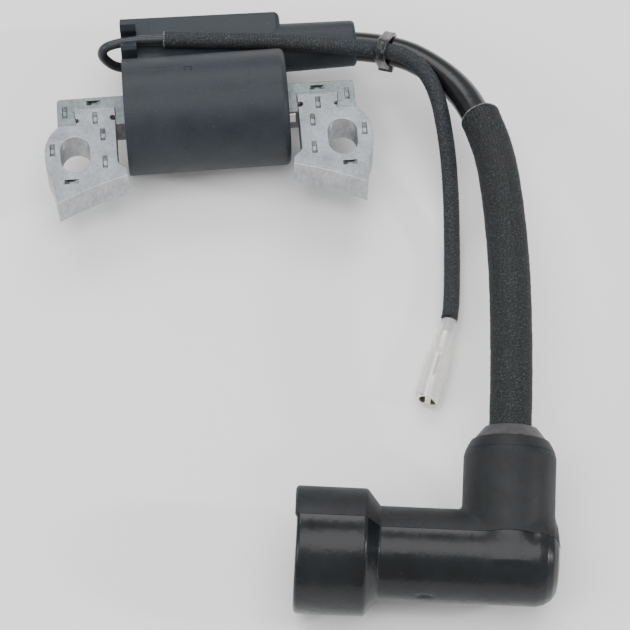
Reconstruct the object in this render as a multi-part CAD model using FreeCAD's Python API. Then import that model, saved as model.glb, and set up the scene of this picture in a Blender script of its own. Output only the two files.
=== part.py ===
"""Flywheel-magneto ignition coil of a small petrol engine, lying on a bench.

Frame, in millimetres: +Z up from the bench, +X along the core bar, +Y away
from the flywheel.  The origin is on the bench under the middle of the coil.
"""
import FreeCAD, Part
import math
import os

os.makedirs("parts", exist_ok=True)
V = FreeCAD.Vector
X_AXIS = V(1, 0, 0)
Z_AXIS = V(0, 0, 1)

# ---- driving dimensions of the coil body ----
BOLT_SPACING = 62.0          # between the two mounting slots, for M6 screws
SLOT_WIDTH = 6.8
SLOT_TRAVEL = 2.8            # between the arc centres of one slot
SLOT_Y = -11.9
CORE_AXIS_Z = 13.7           # height of the core bar and of the round body
BODY_RADIUS = 13.7
BODY_HALF_LENGTH = 19.0
WALL = 1.6
END_WALL = 1.6
BOX_TOP_Z = 17.0             # face of the square section behind the round body
BOX_BOTTOM_Z = 4.4
BOX_BACK_LEFT_Y = 25.8       # the moulding draws, so its open left end is deeper
BOX_BACK_RIGHT_Y = 24.9
SPIGOT_ROOT_RADIUS = 5.85
SPIGOT_RADIUS = 5.45
SPIGOT_END_X = 36.7
LEAD_EXIT_Y = 18.1           # axis of the high-tension lead in its spigot
LEAD_EXIT_Z = 11.5
CLIP_LENGTH = 3.7            # of the two fingers that hold the kill wire
CASE_EDGE_RADIUS = 1.4       # rounding of the closed right end
SPIGOT_RIM_RADIUS = 0.9

# ---- laminated core ----
BAR_HALF_LENGTH = 34.8
BAR_HALF_WIDTH = 3.9
BAR_HALF_THICK = 3.575
ARM_HALF_THICK = 4.15
ARM_OUTER_X = 38.0
ARM_INNER_X = 21.3
POLE_INNER_X = 19.1
POLE_OUTER_X = 35.6
POLE_TIP_Y = -24.9
FLYWHEEL_RADIUS = 76.0       # the pole faces are ground to this arc
TAB_OUTER_X = 30.8
TAB_TAPER = 0.4              # the tab is this much narrower at its root
TAB_TOP_Y = 0.5
BAR_CORNER_RADIUS = 1.0
INNER_NOTCH_RADIUS = 0.75
OUTER_NOTCH_RADIUS = 0.6
STAKE_LENGTH = 3.4
STAKE_WIDTH = 1.2
STAKE_DEPTH = 0.6
ARM_STAKES_LONG_IN_Y = ((26.0, -2.2), (24.4, -6.9), (24.2, -14.4), (36.2, -10.3))
ARM_STAKE_LONG_IN_X = (32.1, -19.2)
BAR_STAKE_LONG_IN_X = (26.2, 2.4)
BAR_STAKE_LONG_IN_Y = (33.0, 0.2)

# ---- windings and bobbins, radii about the core axis ----
BAR_PLAY = 0.05
PRIMARY_TUBE_R = 6.9
PRIMARY_WINDING_R = 8.3
SECONDARY_TUBE_IN_R = 8.8
SECONDARY_TUBE_OUT_R = 9.6
SECONDARY_WINDING_R = 11.2
SECONDARY_FLANGE_R = 11.7
BOBBIN_HALF_LENGTH = 15.0
FLANGE_THICK = 0.8
SECTION_COUNT = 5
FLANGE_OVER_PRIMARY = 0.3    # how far the primary's flanges stand above its winding
POTTING_FACE_X = -18.2

# ---- electronics and connections in the case ----
BOARD = (-12.0, 10.0, 15.6, 22.8, 7.4, 9.0)          # x, y and z from and to
TRANSISTOR = (-3.0, 7.0, 15.9, 22.4, 9.0, 11.8)
TRANSISTOR_HOLE = V(5.2, 20.4, 8.5)
TRANSISTOR_HOLE_RADIUS = 1.2
PIN_START_X = 12.5
PIN_HEAD_RADIUS = 1.8
PIN_HEAD_THICK = 0.8
GROUND_TAB_X = (8.0, 20.6)
GROUND_TAB_THICK = 0.4
GROUND_TAB_Z = (13.5, 16.7)

# ---- cords ----
LEAD_RADIUS = 3.5
LEAD_CORE_RADIUS = 0.8
LEAD_SLEEVE_RADIUS = 4.7
KILL_RADIUS = 1.15
KILL_CORE_RADIUS = 0.45
KILL_SLEEVE_RADIUS = 1.95
LEAD_START_X = 22.0          # the lead's cut end in the spigot
LEAD_SLEEVE_START = 54.5     # distances along each cord's path
KILL_SLEEVE_START = 26.0
KILL_END_IN_TERMINAL = 7.5   # past the point where the cover's neck begins
FRAYED_START = 2.8           # the sleeve's opened end, before that same point
FRAYED_NECK = 1.2
SLEEVE_IN_BOOT = 6.0
TURNING_PLAY = 0.05          # between the lead and the boot that turns on it

# ---- cable tie ----
TIE_CENTRE_X = 44.3
TIE_WIDTH = 2.5
TIE_THICK = 1.1
TIE_HEAD_SIZE = 3.8
TIE_HEAD_HEIGHT = 2.6
TIE_TAIL_LENGTH = 1.4
TIE_TAIL_THICK = 1.0

# ---- spark plug boot ----
BOOT_CORNER = V(56.8, -119.3, 13.8)      # where its two axes cross
BOOT_YAW = 7.5                           # degrees, of the plug arm from -X towards +Y
BOOT_TILT = 15.0                         # degrees that the lead end points up
ARM_RADIUS = 10.1
FLARE_RADIUS = 13.75
MOUTH_DISTANCE = 45.3                    # from the corner to the mouth's plane
FLARE_LENGTH = 14.3
CONE_LENGTH = 2.9
CLOSED_END = 10.9
CLOSED_END_ROUND = 3.5
CLOSED_END_CORNER = 1.1
LEAD_END_LENGTH = 28.4                   # from the corner to the rim round the lead
LEAD_RIM_RADIUS = 6.2
INSULATOR_RADIUS = 5.2                   # bore that grips the plug's insulator
CLIP_CHAMBER_RADIUS = 4.9
CLIP_RADIUS = 4.3
SHELL_BORE_RADIUS = 11.6                 # bore round the plug's steel shell
SHELL_DEPTH = 14.0
INSULATOR_DEPTH = 18.5
CHAMBER_DEPTH = 38.0
CLIP_DEPTH = 38.5
BORE_END_DEPTH = 50.0
LEAD_IN_BOOT = 10.0                      # from the corner to the lead's cut end
SCREW_RADIUS = 1.3                       # of the brass screw from the clip to the lead
SCREW_GAP = 0.3                          # between the screw and the lead's cut end
CLIP_INSIDE_RADIUS = 3.4
RING_WIRE_RADIUS = 0.28

# ---- kill wire terminal ----
TERMINAL_START = V(51.85, -55.07, 3.25)  # where the clear cover's neck begins
TERMINAL_DIRECTION = V(-0.342, -0.940, 0.0).normalize()


def boot_directions():
    """Unit vectors out of the boot's mouth, and out along the lead."""
    yaw = math.radians(BOOT_YAW)
    tilt = math.radians(BOOT_TILT)
    to_mouth = V(-math.cos(yaw), math.sin(yaw), 0)
    across = V(math.sin(yaw), math.cos(yaw), 0)
    to_lead = across * math.cos(tilt) + Z_AXIS * math.sin(tilt)
    return to_mouth, to_lead


TO_MOUTH, TO_LEAD = boot_directions()

# Route of the high-tension lead: out of the spigot, round and into the boot.
LEAD_ROUTE = [
    V(LEAD_START_X, LEAD_EXIT_Y, LEAD_EXIT_Z),
    V(42.8, LEAD_EXIT_Y, LEAD_EXIT_Z),
    V(58.9, 4.4, 13.6),
    V(64.3, -13.0, 17.2),
    V(65.6, -31.5, 22.4),
    BOOT_CORNER + TO_LEAD * 50.0,
    BOOT_CORNER + TO_LEAD * LEAD_IN_BOOT,
]

# Route of the kill wire: a small loop out of the potting, through the clip,
# along the coil, past the lead and down to its terminal on the bench.
KILL_ROUTE = [
    V(-15.6, 17.0, 9.4),
    V(-20.6, 17.1, 9.3),
    V(-25.1, 18.3, 14.6),
    V(-21.0, 19.1, 18.5),
    V(-12.5, 18.6, 19.0),
    V(4.0, 16.3, 19.1),
    V(17.0, 15.1, 19.1),
    V(29.0, 13.6, 18.3),
    V(39.5, 12.5, 17.0),
    V(48.6, 9.8, 17.4),
    V(54.0, 1.4, 16.7),
    V(55.6, -11.5, 11.6),
    V(55.5, -24.0, 6.0),
    V(54.4, -37.5, 2.1),
    TERMINAL_START - TERMINAL_DIRECTION * 6.5,
    TERMINAL_START + TERMINAL_DIRECTION * KILL_END_IN_TERMINAL,
]


# ---- general helpers ----
def box(x0, x1, y0, y1, z0, z1):
    return Part.makeBox(x1 - x0, y1 - y0, z1 - z0, V(x0, y0, z0))


def rod(radius, start, end):
    along = end - start
    return Part.makeCylinder(radius, along.Length, start, along)


def core_ring(outer, inner, x0, x1):
    """A ring about the core's axis."""
    centre = V(x0, 0, CORE_AXIS_Z)
    ring = Part.makeCylinder(outer, x1 - x0, centre, X_AXIS)
    return ring.cut(Part.makeCylinder(inner, x1 - x0, centre, X_AXIS))


def turned(outline, origin, axis):
    """A solid turned about axis; outline holds (distance along, radius) pairs."""
    side = axis.cross(Z_AXIS) if abs(axis.dot(Z_AXIS)) < 0.9 else axis.cross(X_AXIS)
    side = side.normalize()
    points = [origin + axis * along + side * radius for along, radius in outline]
    face = Part.Face(Part.makePolygon(points + points[:1]))
    return face.revolve(origin, axis, 360)


def mirrored_x(shape):
    return shape.mirror(V(0, 0, 0), X_AXIS)


def export(name, shape):
    shape.exportStep("parts/%s.step" % name)
    print("%-22s solids %d  volume %9.1f  valid %s" % (
        name, len(shape.Solids), shape.Volume, shape.isValid()))


# ---- cords: straight runs joined by tangent arcs ----
def path_edges(route, name):
    """Edges of a cord's centre line; prints the radius of each bend."""
    edges = []
    start = route[0]
    radii = []
    for before, corner, after in zip(route, route[1:], route[2:]):
        back = before - corner
        ahead = after - corner
        half_turn = (math.pi - back.getAngle(ahead)) / 2
        reach = 0.45 * min(back.Length, ahead.Length)
        radius = reach / math.tan(half_turn)
        back.normalize()
        ahead.normalize()
        arc_start = corner + back * reach
        arc_end = corner + ahead * reach
        inward = (back + ahead).normalize()
        middle = corner + inward * (radius / math.cos(half_turn) - radius)
        edges.append(Part.LineSegment(start, arc_start).toShape())
        edges.append(Part.Arc(arc_start, middle, arc_end).toShape())
        start = arc_end
        radii.append(round(radius, 1))
    edges.append(Part.LineSegment(start, route[-1]).toShape())
    print(name, "radii", radii, "length", round(sum(e.Length for e in edges), 1))
    return edges


def stretch(edges, start, end):
    """The part of a path between two distances along it."""
    kept = []
    passed = 0.0
    for edge in edges:
        length = edge.Length
        first = max(start - passed, 0.0)
        last = min(end - passed, length)
        if last - first > 1e-6:
            low = edge.getParameterByLength(first)
            high = edge.getParameterByLength(last)
            kept.append(edge.Curve.toShape(low, high))
        passed += length
    return kept


def swept(edges, outer, inner=0.0):
    """A round cord, or a hollow sleeve, along a path of edges."""
    origin = edges[0].valueAt(edges[0].FirstParameter)
    along = edges[0].tangentAt(edges[0].FirstParameter)
    ring = [Part.Wire(Part.Circle(origin, along, outer).toShape())]
    if inner:
        ring.append(Part.Wire(Part.Circle(origin, along, inner).toShape()))
    face = Part.makeFace(ring, "Part::FaceMakerBullseye")
    solid = Part.Wire(edges).makePipe(face)
    expected = math.pi * (outer ** 2 - inner ** 2) * sum(e.Length for e in edges)
    print("   swept volume %.1f, section times length %.1f" % (solid.Volume, expected))
    return solid


# ---- housing ----
def box_back(x):
    """Back of the square section: it draws in evenly from left to right."""
    share = (x + BODY_HALF_LENGTH) / (2 * BODY_HALF_LENGTH)
    return BOX_BACK_LEFT_Y + share * (BOX_BACK_RIGHT_Y - BOX_BACK_LEFT_Y)


def housing_envelope(inset, left_x, right_x):
    """The round body and the square section behind it, shrunk by inset."""
    round_body = Part.makeCylinder(BODY_RADIUS - inset, right_x - left_x,
                                   V(left_x, 0, CORE_AXIS_Z), X_AXIS)
    low = BOX_BOTTOM_Z + inset
    points = [V(left_x, 0, low), V(left_x, box_back(left_x) - inset, low),
              V(right_x, box_back(right_x) - inset, low), V(right_x, 0, low)]
    plan = Part.Face(Part.makePolygon(points + points[:1]))
    square = plan.extrude(V(0, 0, BOX_TOP_Z - BOX_BOTTOM_Z - 2 * inset))
    return round_body.fuse(square).removeSplitter()


def wire_clip():
    """Two hooked fingers that hold the kill wire on the square section's face."""
    front_finger = [(13.4, 16.0), (14.2, 20.8), (14.9, 21.4), (17.5, 19.6),
                    (17.6, 19.1), (17.2, 18.7), (17.2, 16.0)]
    back_finger = [(20.8, 16.0), (20.8, 18.7), (20.4, 19.1), (20.5, 19.6),
                   (21.4, 20.9), (22.2, 20.9), (23.0, 16.0)]
    fingers = []
    for outline in (front_finger, back_finger):
        points = [V(-BODY_HALF_LENGTH, y, z) for y, z in outline]
        face = Part.Face(Part.makePolygon(points + points[:1]))
        fingers.append(face.extrude(V(CLIP_LENGTH, 0, 0)))
    return fingers


def housing_shell():
    """Moulded case: open at the left end, closed round the core at the right."""
    outer = housing_envelope(0, -BODY_HALF_LENGTH, BODY_HALF_LENGTH)
    right = [e for e in outer.Edges
             if min(v.X for v in e.Vertexes) > BODY_HALF_LENGTH - 0.01]
    outer = outer.makeFillet(CASE_EDGE_RADIUS, right)
    cavity = housing_envelope(WALL, -BODY_HALF_LENGTH, BODY_HALF_LENGTH - END_WALL)
    spigot_start = V(BODY_HALF_LENGTH - END_WALL, LEAD_EXIT_Y, LEAD_EXIT_Z)
    spigot_end = V(SPIGOT_END_X, LEAD_EXIT_Y, LEAD_EXIT_Z)
    spigot = Part.makeCone(SPIGOT_ROOT_RADIUS, SPIGOT_RADIUS,
                           (spigot_end - spigot_start).Length, spigot_start, X_AXIS)
    rim = [e for e in spigot.Edges if e.BoundBox.XMin > SPIGOT_END_X - 0.01]
    spigot = spigot.makeFillet(SPIGOT_RIM_RADIUS, rim)
    shell = outer.cut(cavity).fuse(spigot)
    bore_end = V(SPIGOT_END_X + 1, LEAD_EXIT_Y, LEAD_EXIT_Z)
    shell = shell.cut(rod(LEAD_RADIUS, V(LEAD_START_X, LEAD_EXIT_Y, LEAD_EXIT_Z), bore_end))
    shell = shell.cut(rod(LEAD_CORE_RADIUS, spigot_start - X_AXIS, bore_end))
    shell = shell.cut(core_tunnel(PRIMARY_TUBE_R, 10, BODY_HALF_LENGTH + 1))
    for finger in wire_clip():
        shell = shell.fuse(finger)
    return shell.removeSplitter()


def core_tunnel(radius, x0, x1):
    return Part.makeCylinder(radius, x1 - x0, V(x0, 0, CORE_AXIS_Z), X_AXIS)


# ---- core ----
def stake(x, y, top_z, along_x):
    """One staking dimple: a V-shaped cut, deepest in the middle of its length."""
    half = STAKE_LENGTH / 2
    points = [V(-half, 0, 0.01), V(half, 0, 0.01), V(0, 0, -STAKE_DEPTH)]
    face = Part.Face(Part.makePolygon(points + points[:1]))
    wedge = face.extrude(V(0, STAKE_WIDTH, 0))
    wedge.translate(V(0, -STAKE_WIDTH / 2, 0))
    if not along_x:
        wedge.rotate(V(0, 0, 0), Z_AXIS, 90)
    wedge.translate(V(x, y, top_z))
    return wedge


def stack_block(face, half_thick):
    """A stack of laminations from its outline, about the core's mid-plane."""
    face.translate(V(0, 0, CORE_AXIS_Z - half_thick))
    return face.extrude(V(0, 0, 2 * half_thick))


def arm_outline():
    """Outline of the right arm's laminations, clockwise from the tab."""
    flywheel_y = POLE_TIP_Y - math.sqrt(FLYWHEEL_RADIUS ** 2 - POLE_OUTER_X ** 2)

    def pole(x):
        return V(x, flywheel_y + math.sqrt(FLYWHEEL_RADIUS ** 2 - x * x), 0)

    shoulder = V(34.4, -BAR_HALF_WIDTH, 0)
    boss_top = V(ARM_OUTER_X, -10.6, 0)
    boss_low = V(ARM_OUTER_X, -13.0, 0)
    waist = V(36.7, -18.2, 0)
    tip = pole(POLE_OUTER_X)
    heel = pole(POLE_INNER_X)
    line = Part.LineSegment
    straight = [
        (V(ARM_INNER_X, TAB_TOP_Y, 0), V(TAB_OUTER_X, TAB_TOP_Y, 0)),
        (V(TAB_OUTER_X, TAB_TOP_Y, 0), V(TAB_OUTER_X - TAB_TAPER, -BAR_HALF_WIDTH, 0)),
        (V(TAB_OUTER_X - TAB_TAPER, -BAR_HALF_WIDTH, 0), shoulder),
        (boss_top, boss_low),
        (waist, tip),
        (heel, V(POLE_INNER_X + 0.2, -16.6, 0)),
        (V(POLE_INNER_X + 0.2, -16.6, 0), V(ARM_INNER_X - 0.3, -15.1, 0)),
        (V(ARM_INNER_X - 0.3, -15.1, 0), V(ARM_INNER_X, -14.5, 0)),
        (V(ARM_INNER_X, -14.5, 0), V(ARM_INNER_X, TAB_TOP_Y, 0)),
    ]
    edges = [line(a, b).toShape() for a, b in straight]
    edges.append(Part.Arc(shoulder, V(36.8, -6.5, 0), boss_top).toShape())
    edges.append(Part.Arc(boss_low, V(37.6, -15.7, 0), waist).toShape())
    edges.append(Part.Arc(tip, pole((POLE_INNER_X + POLE_OUTER_X) / 2), heel).toShape())
    return Part.Face(Part.Wire(Part.sortEdges(edges)[0]))


def relief_notches():
    """Round notches at the tab's root, which clear the bar's corners."""
    low = CORE_AXIS_Z - 5
    notch_in = Part.makeCylinder(INNER_NOTCH_RADIUS, 10, V(ARM_INNER_X + 0.45, -2.3, low))
    notch_out = Part.makeCylinder(OUTER_NOTCH_RADIUS, 10, V(TAB_OUTER_X - 0.5, -2.6, low))
    return notch_in.fuse(notch_out)


def right_arm():
    """Lamination stack that carries one mounting slot and one pole shoe."""
    arm = stack_block(arm_outline(), ARM_HALF_THICK)
    arm = arm.cut(slot_cutter(BOLT_SPACING / 2)).cut(relief_notches())
    top = CORE_AXIS_Z + ARM_HALF_THICK
    for x, y in ARM_STAKES_LONG_IN_Y:
        arm = arm.cut(stake(x, y, top, along_x=False))
    return arm.cut(stake(*ARM_STAKE_LONG_IN_X, top, along_x=True))


def slot_cutter(x):
    """The through-slot for one M6 screw, long in Y."""
    half = SLOT_TRAVEL / 2
    low = CORE_AXIS_Z - ARM_HALF_THICK - 1
    height = 2 * ARM_HALF_THICK + 2
    radius = SLOT_WIDTH / 2
    cutter = box(x - radius, x + radius, SLOT_Y - half, SLOT_Y + half, low, low + height)
    for y in (SLOT_Y - half, SLOT_Y + half):
        cutter = cutter.fuse(Part.makeCylinder(radius, height, V(x, y, low)))
    return cutter.removeSplitter()


def tab_pockets():
    """Where the two arms' tabs are pressed into the bar."""
    low = CORE_AXIS_Z - 5
    points = [V(ARM_INNER_X, TAB_TOP_Y, low), V(TAB_OUTER_X, TAB_TOP_Y, low),
              V(TAB_OUTER_X - TAB_TAPER, -BAR_HALF_WIDTH, low),
              V(TAB_OUTER_X - TAB_TAPER, -BAR_HALF_WIDTH - 1, low),
              V(ARM_INNER_X, -BAR_HALF_WIDTH - 1, low)]
    pocket = Part.Face(Part.makePolygon(points + points[:1])).extrude(V(0, 0, 10))
    return pocket, mirrored_x(pocket)


def core_bar():
    """Lamination stack through the windings, with a pocket for each arm's tab."""
    bar = box(-BAR_HALF_LENGTH, BAR_HALF_LENGTH, -BAR_HALF_WIDTH, BAR_HALF_WIDTH,
              CORE_AXIS_Z - BAR_HALF_THICK, CORE_AXIS_Z + BAR_HALF_THICK)
    corners = [e for e in bar.Edges
               if abs(e.Vertexes[0].Z - e.Vertexes[-1].Z) > 1 and e.Vertexes[0].Y > 0]
    bar = bar.makeFillet(BAR_CORNER_RADIUS, corners)
    for pocket in tab_pockets():
        bar = bar.cut(pocket)
    top = CORE_AXIS_Z + BAR_HALF_THICK
    for (x, y), along_x in ((BAR_STAKE_LONG_IN_X, True), (BAR_STAKE_LONG_IN_Y, False)):
        for side in (-1, 1):
            bar = bar.cut(stake(side * x, y, top, along_x))
    return bar


# ---- windings ----
def bar_hole(x0, x1):
    return box(x0, x1, -BAR_HALF_WIDTH - BAR_PLAY, BAR_HALF_WIDTH + BAR_PLAY,
               CORE_AXIS_Z - BAR_HALF_THICK - BAR_PLAY,
               CORE_AXIS_Z + BAR_HALF_THICK + BAR_PLAY)


def primary_bobbin():
    """Tube that the bar slides through, with a flange at each end of the winding."""
    tube = core_tunnel(PRIMARY_TUBE_R, POTTING_FACE_X, BODY_HALF_LENGTH)
    for side in (-1, 1):
        middle = side * (BOBBIN_HALF_LENGTH - FLANGE_THICK / 2)
        tube = tube.fuse(core_tunnel(PRIMARY_WINDING_R + FLANGE_OVER_PRIMARY,
                                     middle - FLANGE_THICK / 2,
                                     middle + FLANGE_THICK / 2))
    tube = tube.cut(bar_hole(-BODY_HALF_LENGTH - 1, BODY_HALF_LENGTH + 1))
    return tube.cut(ground_tab()).removeSplitter()


def primary_winding():
    """Enamelled copper, wound full to just under the flanges."""
    reach = BOBBIN_HALF_LENGTH - FLANGE_THICK
    return core_ring(PRIMARY_WINDING_R, PRIMARY_TUBE_R, -reach, reach)


def section_centres():
    """X of the flanges that part the secondary winding into sections."""
    pitch = (2 * BOBBIN_HALF_LENGTH - FLANGE_THICK) / SECTION_COUNT
    first = -BOBBIN_HALF_LENGTH + FLANGE_THICK / 2
    return [first + pitch * i for i in range(SECTION_COUNT + 1)]


def secondary_bobbin():
    tube = core_ring(SECONDARY_TUBE_OUT_R, SECONDARY_TUBE_IN_R,
                     -BOBBIN_HALF_LENGTH, BOBBIN_HALF_LENGTH)
    for x in section_centres():
        flange = core_ring(SECONDARY_FLANGE_R, SECONDARY_TUBE_IN_R,
                           x - FLANGE_THICK / 2, x + FLANGE_THICK / 2)
        tube = tube.fuse(flange)
    return tube.removeSplitter()


def secondary_winding():
    """Fine wire in five sections, one ring of copper in each."""
    flanges = section_centres()
    rings = [core_ring(SECONDARY_WINDING_R, SECONDARY_TUBE_OUT_R,
                       a + FLANGE_THICK / 2, b - FLANGE_THICK / 2)
             for a, b in zip(flanges, flanges[1:])]
    return Part.makeCompound(rings)


def ground_tab():
    """Brass strip beside the bar that earths the primary winding to the core."""
    inner_y = -BAR_HALF_WIDTH - BAR_PLAY
    return box(*GROUND_TAB_X, inner_y - GROUND_TAB_THICK, inner_y, *GROUND_TAB_Z)


# ---- electronics in the square section ----
def control_board():
    """Printed board of the transistor trigger circuit."""
    return box(*BOARD)


def power_transistor():
    """Flat-pack switching transistor that lies on the board."""
    return box(*TRANSISTOR).cut(
        Part.makeCylinder(TRANSISTOR_HOLE_RADIUS, 4, TRANSISTOR_HOLE))


def ht_terminal_pin():
    """Brass pin that joins the secondary winding to the lead's conductor."""
    start = V(PIN_START_X, LEAD_EXIT_Y, LEAD_EXIT_Z)
    head = rod(PIN_HEAD_RADIUS, start, start + X_AXIS * PIN_HEAD_THICK)
    return head.fuse(rod(LEAD_CORE_RADIUS, start, V(LEAD_START_X, LEAD_EXIT_Y, LEAD_EXIT_Z)))


def potting(inner_pieces):
    """Epoxy that fills the case round every inner piece."""
    fill = housing_envelope(WALL, POTTING_FACE_X, BODY_HALF_LENGTH - END_WALL)
    fill = fill.cut(bar_hole(-BODY_HALF_LENGTH - 1, BODY_HALF_LENGTH + 1))
    for piece in inner_pieces:
        fill = fill.cut(piece)
    solids = sorted(fill.Solids, key=lambda solid: solid.Volume)
    return solids[-1]


# ---- cable tie ----
def point_at_x(edges, x):
    """First point and tangent of a path where it passes a plane of constant X."""
    for edge in edges:
        low, high = edge.FirstParameter, edge.LastParameter
        if min(edge.valueAt(low).x, edge.valueAt(high).x) > x:
            continue
        if max(edge.valueAt(low).x, edge.valueAt(high).x) < x:
            continue
        for _ in range(40):
            middle = (low + high) / 2
            if edge.valueAt(middle).x < x:
                low = middle
            else:
                high = middle
        return edge.valueAt(low), edge.tangentAt(low)
    raise ValueError("the path does not reach x = %s" % x)


def tie_band(a, b, radius_a, radius_b, along, grow):
    """The band's outline round two parallel cords, as a slab of its width."""
    half = along * (TIE_WIDTH / 2)
    big, small = radius_a + grow, radius_b + grow
    apart = b - a
    reach = apart.normalize() * 1.0
    side = along.cross(reach).normalize()
    lean = math.asin((big - small) / (b - a).Length)
    corners = []
    for sign in (1, -1):
        out = side * (sign * math.cos(lean)) + reach * math.sin(lean)
        pair = [a + out * big, b + out * small]
        corners += pair if sign == 1 else pair[::-1]
    points = [corner - half for corner in corners]
    slab = Part.Face(Part.makePolygon(points + points[:1])).extrude(half * 2)
    for centre, radius in ((a, big), (b, small)):
        slab = slab.fuse(rod(radius, centre - half, centre + half))
    return slab.removeSplitter()


def cable_tie(lead_edges, kill_edges):
    """Nylon tie: band, square head under the lead and a trimmed tail."""
    lead_at, along = point_at_x(lead_edges, TIE_CENTRE_X)
    kill_at, _ = point_at_x(kill_edges, TIE_CENTRE_X - 0.4)
    kill_at = kill_at - along * (kill_at - lead_at).dot(along)
    band = tie_band(lead_at, kill_at, LEAD_RADIUS, KILL_SLEEVE_RADIUS, along, TIE_THICK)
    band = band.cut(tie_band(lead_at, kill_at, LEAD_RADIUS, KILL_SLEEVE_RADIUS,
                             along * 1.2, 0.0))
    down = V(0, -0.35, -0.94)
    down = (down - along * along.dot(down)).normalize()
    turn = FreeCAD.Rotation(along, V(0, 0, 0), down, "XZY")
    half = TIE_HEAD_SIZE / 2
    head = Part.makeBox(TIE_HEAD_SIZE, TIE_HEAD_SIZE, TIE_HEAD_HEIGHT, V(-half, -half, 0))
    tail = Part.makeBox(TIE_WIDTH, TIE_TAIL_LENGTH, TIE_TAIL_THICK, V(-TIE_WIDTH / 2, half, 0.8))
    clamp = head.fuse(tail)
    clamp.Placement = FreeCAD.Placement(lead_at + down * (LEAD_RADIUS + 0.1), turn)
    return band.fuse(clamp)


# ---- boot ----
def boot_outside():
    arm_start = -CLOSED_END
    flare_start = MOUTH_DISTANCE - FLARE_LENGTH
    arm = turned([
        (arm_start, 0), (arm_start, ARM_RADIUS - CLOSED_END_ROUND),
        (arm_start + CLOSED_END_CORNER, ARM_RADIUS - CLOSED_END_CORNER),
        (arm_start + CLOSED_END_ROUND, ARM_RADIUS), (flare_start - CONE_LENGTH, ARM_RADIUS),
        (flare_start, FLARE_RADIUS), (MOUTH_DISTANCE, FLARE_RADIUS), (MOUTH_DISTANCE, 0),
    ], BOOT_CORNER, TO_MOUTH)
    shoulder = LEAD_END_LENGTH - 5.0
    elbow = turned([
        (0, 0), (0, ARM_RADIUS - 0.05), (shoulder, ARM_RADIUS - 0.05),
        (shoulder + 3.2, 8.0), (LEAD_END_LENGTH, LEAD_RIM_RADIUS), (LEAD_END_LENGTH, 0),
    ], BOOT_CORNER, TO_LEAD)
    return arm.fuse(elbow).removeSplitter()


def along_plug(depth):
    """A point on the plug arm's axis, at a depth from the mouth."""
    return BOOT_CORNER + TO_MOUTH * (MOUTH_DISTANCE - depth)


def plug_bores():
    """The stepped space that the spark plug fills."""
    return turned([
        (MOUTH_DISTANCE + 1, 0), (MOUTH_DISTANCE + 1, SHELL_BORE_RADIUS),
        (MOUTH_DISTANCE - SHELL_DEPTH, SHELL_BORE_RADIUS),
        (MOUTH_DISTANCE - INSULATOR_DEPTH, INSULATOR_RADIUS),
        (MOUTH_DISTANCE - CHAMBER_DEPTH, INSULATOR_RADIUS),
        (MOUTH_DISTANCE - CHAMBER_DEPTH, CLIP_CHAMBER_RADIUS),
        (MOUTH_DISTANCE - BORE_END_DEPTH, CLIP_CHAMBER_RADIUS),
        (MOUTH_DISTANCE - BORE_END_DEPTH, 0),
    ], BOOT_CORNER, TO_MOUTH)


def along_lead(distance):
    return BOOT_CORNER + TO_LEAD * distance


def plug_boot():
    """Rubber elbow boot: a flared mouth for the plug and a socket for the lead."""
    boot = boot_outside().cut(plug_bores())
    end = LEAD_END_LENGTH + 1
    boot = boot.cut(rod(LEAD_RADIUS + TURNING_PLAY, along_lead(LEAD_IN_BOOT - SCREW_GAP),
                        along_lead(end)))
    boot = boot.cut(rod(LEAD_SLEEVE_RADIUS + TURNING_PLAY,
                        along_lead(LEAD_END_LENGTH - SLEEVE_IN_BOOT), along_lead(end)))
    boot = boot.cut(rod(SCREW_RADIUS, along_lead(0), along_lead(LEAD_IN_BOOT)))
    return boot.Solids[0]


def boot_lead_terminal():
    """Brass screw from the plug clip towards the lead's conductor."""
    return rod(SCREW_RADIUS, along_lead(CLIP_RADIUS), along_lead(LEAD_IN_BOOT - SCREW_GAP))


def plug_clip():
    """Spring-brass cap that snaps over the plug's terminal nut."""
    near, far = MOUTH_DISTANCE - BORE_END_DEPTH, MOUTH_DISTANCE - CLIP_DEPTH
    clip = turned([
        (near + 0.3, 0), (near + 0.3, CLIP_RADIUS), (far, CLIP_RADIUS), (far, CLIP_INSIDE_RADIUS),
        (near + 1.1, CLIP_INSIDE_RADIUS), (near + 1.1, 0),
    ], BOOT_CORNER, TO_MOUTH)
    across = TO_MOUTH.cross(TO_LEAD)
    for side in (TO_LEAD * -1, across):
        slit = Part.makeBox(14, 12, 1.0, V(0, -6, -0.5))
        slit.Placement = FreeCAD.Placement(BOOT_CORNER + TO_MOUTH * (near + 3.0),
                                           FreeCAD.Rotation(TO_MOUTH, side, V(0, 0, 0), "XYZ"))
        clip = clip.cut(slit)
    return clip


def retaining_ring():
    """Spring-wire ring that keeps the clip on its brass screw."""
    middle = MOUTH_DISTANCE - CLIP_DEPTH - 2.0
    return Part.makeTorus(CLIP_RADIUS + 0.3, RING_WIRE_RADIUS,
                          BOOT_CORNER + TO_MOUTH * middle, TO_MOUTH)


# ---- kill wire terminal and cover ----
def kill_terminal():
    """Female bullet terminal: a crimp on the wire and a rolled, slit barrel."""
    solid = turned([
        (3.4, 0), (3.4, 1.85), (7.8, 1.85), (9.4, 2.45), (21.0, 2.45), (21.0, 2.0),
        (9.8, 2.0), (9.2, 0),
    ], TERMINAL_START, TERMINAL_DIRECTION)
    solid = solid.cut(rod(KILL_RADIUS, TERMINAL_START,
                          TERMINAL_START + TERMINAL_DIRECTION * KILL_END_IN_TERMINAL))
    slit = Part.makeBox(13, 0.7, 2, V(9.9, -0.35, 1.2))
    slit.Placement = FreeCAD.Placement(TERMINAL_START,
                                       FreeCAD.Rotation(X_AXIS, TERMINAL_DIRECTION))
    return solid.cut(slit)


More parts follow.
